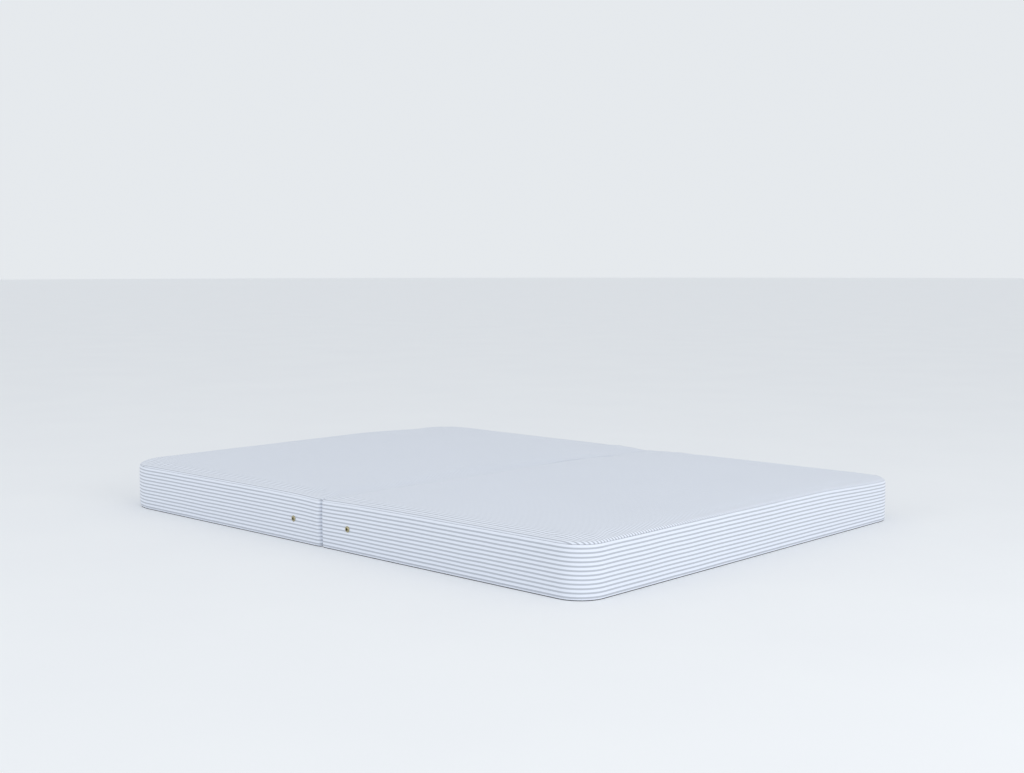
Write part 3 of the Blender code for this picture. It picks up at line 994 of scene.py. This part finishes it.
def gauze_tree(material):
    """Woven wire gauze in a round opening: two layers of wires, each cut to the circle's chord."""
    sizes = {"Radius": 0.0033, "Wire": 0.00016, "Wires": 11}
    tree, given, made = nodes_tree("round_wire_gauze", sizes)
    radius, wire, wires = (given.outputs[name] for name in ("Radius", "Wire", "Wires"))
    half_wire = times(tree, wire, 0.5)
    reach = times(tree, radius, 0.94)
    full_reach = times(tree, reach, 2.0)
    gap = math_node(tree, "DIVIDE", full_reach, less(tree, wires, 1.0))
    row = {
        "Count": wires,
        "Start Location": vector(tree, times(tree, reach, -1.0)),
        "Offset": vector(tree, gap),
    }
    line = add_node(tree, "GeometryNodeMeshLine", row, mode="OFFSET").outputs[0]
    place = add_node(tree, "GeometryNodeInputPosition").outputs[0]
    x = add_node(tree, "ShaderNodeSeparateXYZ", {0: place}).outputs[0]
    squares = (times(tree, value, value) for value in (radius, x))
    inner = less(tree, *squares)
    chord = times(tree, math_node(tree, "SQRT", inner), 2.0)
    scale = vector(tree, 1.0, 1.0, chord)
    cylinder = {"Vertices": 8, "Radius": half_wire, "Depth": 1.0}
    rod = add_node(tree, "GeometryNodeMeshCylinder", cylinder).outputs["Mesh"]
    laid = add_node(
        tree,
        "GeometryNodeInstanceOnPoints",
        {"Points": line, "Instance": rod, "Rotation": (math.pi / 2, 0.0, 0.0), "Scale": scale},
    ).outputs[0]
    layers = add_node(tree, "GeometryNodeJoinGeometry")
    for turn, side in ((0.0, -0.5), (math.pi / 2, 0.5)):
        lift = vector(tree, z=times(tree, wire, side))
        moved = {"Geometry": laid, "Translation": lift, "Rotation": (0.0, 0.0, turn)}
        layer = add_node(tree, "GeometryNodeTransform", moved)
        tree.links.new(layer.outputs[0], layers.inputs[0])
    return finish_tree(tree, layers.outputs[0], made, material)


def grown(thing, tree, values):
    """Run a node tree on an object with these named inputs, and keep the plain result."""
    grow = thing.modifiers.new(tree.name, "NODES")
    grow.node_group = tree
    for name, value in values.items():
        grow[socket_id(tree, name)] = value
    return made_plain(thing)


class BEDBASE_OT_staples(bpy.types.Operator):
    """Staple the dust cloth to the frame all round"""

    bl_idname = "bed_base.staples"
    bl_label = "Staples"

    INSET, HEIGHT = 14 * MM, 0.4 * MM

    def execute(self, context):
        _, _, metal = settings()
        tree = staple_tree(finish("wire", zinc_wire))
        for half in HALVES:
            plan = Plan(half)
            points = [(x, y, self.HEIGHT) for x, y in plan.ring(self.INSET)]
            edges = [(index, (index + 1) % len(points)) for index in range(len(points))]
            mesh = bpy.data.meshes.new(half + "_staples")
            mesh.from_pydata(points, edges, [])
            staples = grown(
                new_object(half + "_staples", mesh),
                tree,
                {"Spacing": metal.staple_gap, "Width": metal.staple_width, "Wire": STAPLE_WIRE},
            )
            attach(staples, half + "_half")
        return {"FINISHED"}


class BEDBASE_OT_vents(bpy.types.Operator):
    """Turn the brass air vents and set their wire gauze"""

    bl_idname = "bed_base.vents"
    bl_label = "Brass vents"

    TURNS = 72
    BORE, BARREL = 3.5 * MM, 5 * MM
    LIP = 0.6 * MM

    def execute(self, context):
        _, _, metal = settings()
        brass = finish("brass", aged_brass)
        gauze = gauze_tree(brass)
        for half in HALVES:
            for side in SIDES:
                name = f"{half}_vent_{side}"
                low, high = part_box(name)
                disc_low, disc_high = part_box(f"{half}_vent_gauze_{side}")
                outward = -1.0 if side == "near" else 1.0
                wall = (disc_low.y + disc_high.y) / 2
                turn = Matrix.Rotation(-outward * math.pi / 2, 4, "X")
                place = Matrix.Translation(((low.x + high.x) / 2, wall, (low.z + high.z) / 2)) @ turn
                depth = (high.y - wall) if side == "near" else (wall - low.y)
                vent = new_object(name + "_eyelet", self.eyelet(metal, depth), brass)
                vent.data.transform(place)
                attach(vent, half + "_half")
                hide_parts(name)
                bore = (disc_high.x - disc_low.x) / 2
                seed = bpy.data.meshes.new(name + "_gauze")
                screen = grown(
                    new_object(name + "_gauze_wire", seed),
                    gauze,
                    {"Radius": bore, "Wire": metal.wire, "Wires": metal.wires},
                )
                screen.data.transform(place)
                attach(screen, half + "_half")
                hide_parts(f"{half}_vent_gauze_{side}")
        return {"FINISHED"}

    def eyelet(self, metal, depth):
        """A turned form: domed flange with a rolled rim, a rounded mouth and a long barrel."""
        rim, rise = metal.dome, metal.rise
        bore, barrel, lip = self.BORE, self.BARREL, self.LIP
        # The cover stands out by the wall's bulge, so the flange sits that much proud.
        proud = bpy.context.scene.bed_base_shape.bulge
        profile = [(bore, -depth), (bore, proud + rise * 0.45)]
        for angle in range(0, 181, 30):
            turn = math.radians(180 - angle)
            height = proud + rise * 0.72 + lip * math.sin(turn)
            profile.append((bore + lip + lip * math.cos(turn), height))
        for share in (0.15, 0.35, 0.55, 0.72, 0.86):
            radius = bore + 2 * lip + (rim - bore - 2 * lip) * share
            profile.append((radius, proud + rise * (0.72 - 0.5 * share**2.2)))
        profile += [(rim - 0.1 * MM, proud + rise * 0.16), (rim, proud + 0.2 * MM)]
        profile += [(rim - 0.3 * MM, proud - 0.2 * MM), (barrel, proud - 0.2 * MM), (barrel, -depth)]
        form = bmesh.new()
        knots = [form.verts.new((radius, 0.0, height)) for radius, height in profile]
        edges = [form.edges.new(pair) for pair in zip(knots, knots[1:] + knots[:1])]
        bmesh.ops.spin(
            form,
            geom=knots + edges,
            axis=(0, 0, 1),
            cent=(0, 0, 0),
            angle=2 * math.pi,
            steps=self.TURNS,
            use_merge=True,
        )
        bmesh.ops.remove_doubles(form, verts=form.verts, dist=0.000001)
        bmesh.ops.recalc_face_normals(form, faces=form.faces)
        mesh = formed("eyelet", form)
        smooth(mesh)
        mesh.set_sharp_from_angle(angle=math.radians(50))
        return mesh


class BEDBASE_OT_stage(bpy.types.Operator):
    """Set the pale floor, the soft lights and the camera"""

    bl_idname = "bed_base.stage"
    bl_label = "Stage"

    CAMERA_PLACE = (3.0536, -3.1721, 0.7960)
    HEADING, TILT, ROLL = 133.2544, -5.1740, -0.0746
    LENS = 48.93
    WORLD_COLOUR, WORLD_STRENGTH = (0.93, 0.965, 1.0, 1), 0.85
    # Name, place, width and power of each soft light, and the point they face.
    PANELS = (
        ("head_softbox", (5.5, -0.8, 1.6), 3.0, 72.0),
        ("near_softbox", (-0.6, -6.0, 2.2), 3.0, 42.0),
    )
    AIM = Vector((0, 0, 0.07))
    FLOOR_RADIUS, FLOOR_GAP = 60.0, 0.2 * MM

    def execute(self, context):
        self.floor()
        self.lights(context)
        self.camera(context)
        context.scene.view_settings.view_transform = "Standard"
        return {"FINISHED"}

    def floor(self):
        """Matt painted studio floor, with the faint mottle of rolled paint."""
        material, tree, shader = new_material("matt_studio_paint", Roughness=0.95, Specular_IOR_Level=0.1)
        place = object_place(tree)
        mottle = noise(tree, place, 2.0, 3.0)
        set_colour(tree, shader, mottle, opaque("f0f1f3"), opaque("f4f5f6"))
        form = bmesh.new()
        bmesh.ops.create_circle(form, cap_ends=True, segments=96, radius=self.FLOOR_RADIUS)
        mesh = formed("studio_floor", form)
        mesh.transform(Matrix.Translation((0, 0, CAD_BOX[0][2] - self.FLOOR_GAP)))
        new_object("studio_floor", mesh, material)

    def lights(self, context):
        world = bpy.data.worlds.new("white_studio")
        world.use_nodes = True
        background = world.node_tree.nodes["Background"]
        background.inputs["Color"].default_value = self.WORLD_COLOUR
        background.inputs["Strength"].default_value = self.WORLD_STRENGTH
        context.scene.world = world
        for name, place, size, power in self.PANELS:
            lamp = bpy.data.lights.new(name, "AREA")
            lamp.shape = "SQUARE"
            lamp.size = size
            lamp.energy = power
            thing = bpy.data.objects.new(name, lamp)
            thing.location = place
            facing = self.AIM - Vector(place)
            thing.rotation_euler = facing.to_track_quat("-Z", "Y").to_euler()
            context.scene.collection.objects.link(thing)

    def camera(self, context):
        heading, tilt, roll = (math.radians(value) for value in (self.HEADING, self.TILT, self.ROLL))
        forward = Vector(
            (math.cos(tilt) * math.cos(heading), math.cos(tilt) * math.sin(heading), math.sin(tilt))
        )
        level = Vector((math.sin(heading), -math.cos(heading), 0))
        upright = level.cross(forward)
        right = level * math.cos(roll) + upright * math.sin(roll)
        up = upright * math.cos(roll) - level * math.sin(roll)
        data = bpy.data.cameras.new("studio_camera")
        data.lens = self.LENS
        data.clip_end = 200
        camera = bpy.data.objects.new("studio_camera", data)
        turned = Matrix((right, up, -forward)).transposed()
        camera.matrix_world = Matrix.Translation(self.CAMERA_PLACE) @ turned.to_4x4()
        context.scene.collection.objects.link(camera)
        context.scene.camera = camera


class BEDBASE_PT_panel(bpy.types.Panel):
    """Sizes, colours and pieces of the bed base"""

    bl_label = "Bed Base"
    bl_idname = "BEDBASE_PT_panel"
    bl_space_type = "VIEW_3D"
    bl_region_type = "UI"
    bl_category = "Bed Base"

    def draw(self, context):
        for group in settings():
            box = self.layout.box()
            for name in group.bl_rna.properties.keys():
                if name not in {"rna_type", "name"}:
                    box.prop(group, name)
        column = self.layout.column()
        for operator in OPERATORS:
            column.operator(operator.bl_idname)


OPERATORS = (
    BEDBASE_OT_stage,
    BEDBASE_OT_timber,
    BEDBASE_OT_edge_felt,
    BEDBASE_OT_pads,
    BEDBASE_OT_top_covers,
    BEDBASE_OT_borders,
    BEDBASE_OT_dust_cloths,
    BEDBASE_OT_staples,
    BEDBASE_OT_vents,
)
GROUPS = (
    ("bed_base_shape", BedBaseShape),
    ("bed_base_cloth", BedBaseCloth),
    ("bed_base_metal", BedBaseMetal),
)


def register():
    for name, group in GROUPS:
        bpy.utils.register_class(group)
        setattr(bpy.types.Scene, name, PointerProperty(type=group))
    for operator in OPERATORS:
        bpy.utils.register_class(operator)
    bpy.utils.register_class(BEDBASE_PT_panel)


def unregister():
    bpy.utils.unregister_class(BEDBASE_PT_panel)
    for operator in reversed(OPERATORS):
        bpy.utils.unregister_class(operator)
    for name, group in reversed(GROUPS):
        delattr(bpy.types.Scene, name)
        bpy.utils.unregister_class(group)


def main():
    for thing in ("Cube", "Light", "Camera"):
        if thing in bpy.data.objects:
            bpy.data.objects.remove(bpy.data.objects[thing])
    register()
    for operator in OPERATORS:
        getattr(bpy.ops.bed_base, operator.bl_idname.split(".")[1])()


if __name__ == "__main__":
    main()
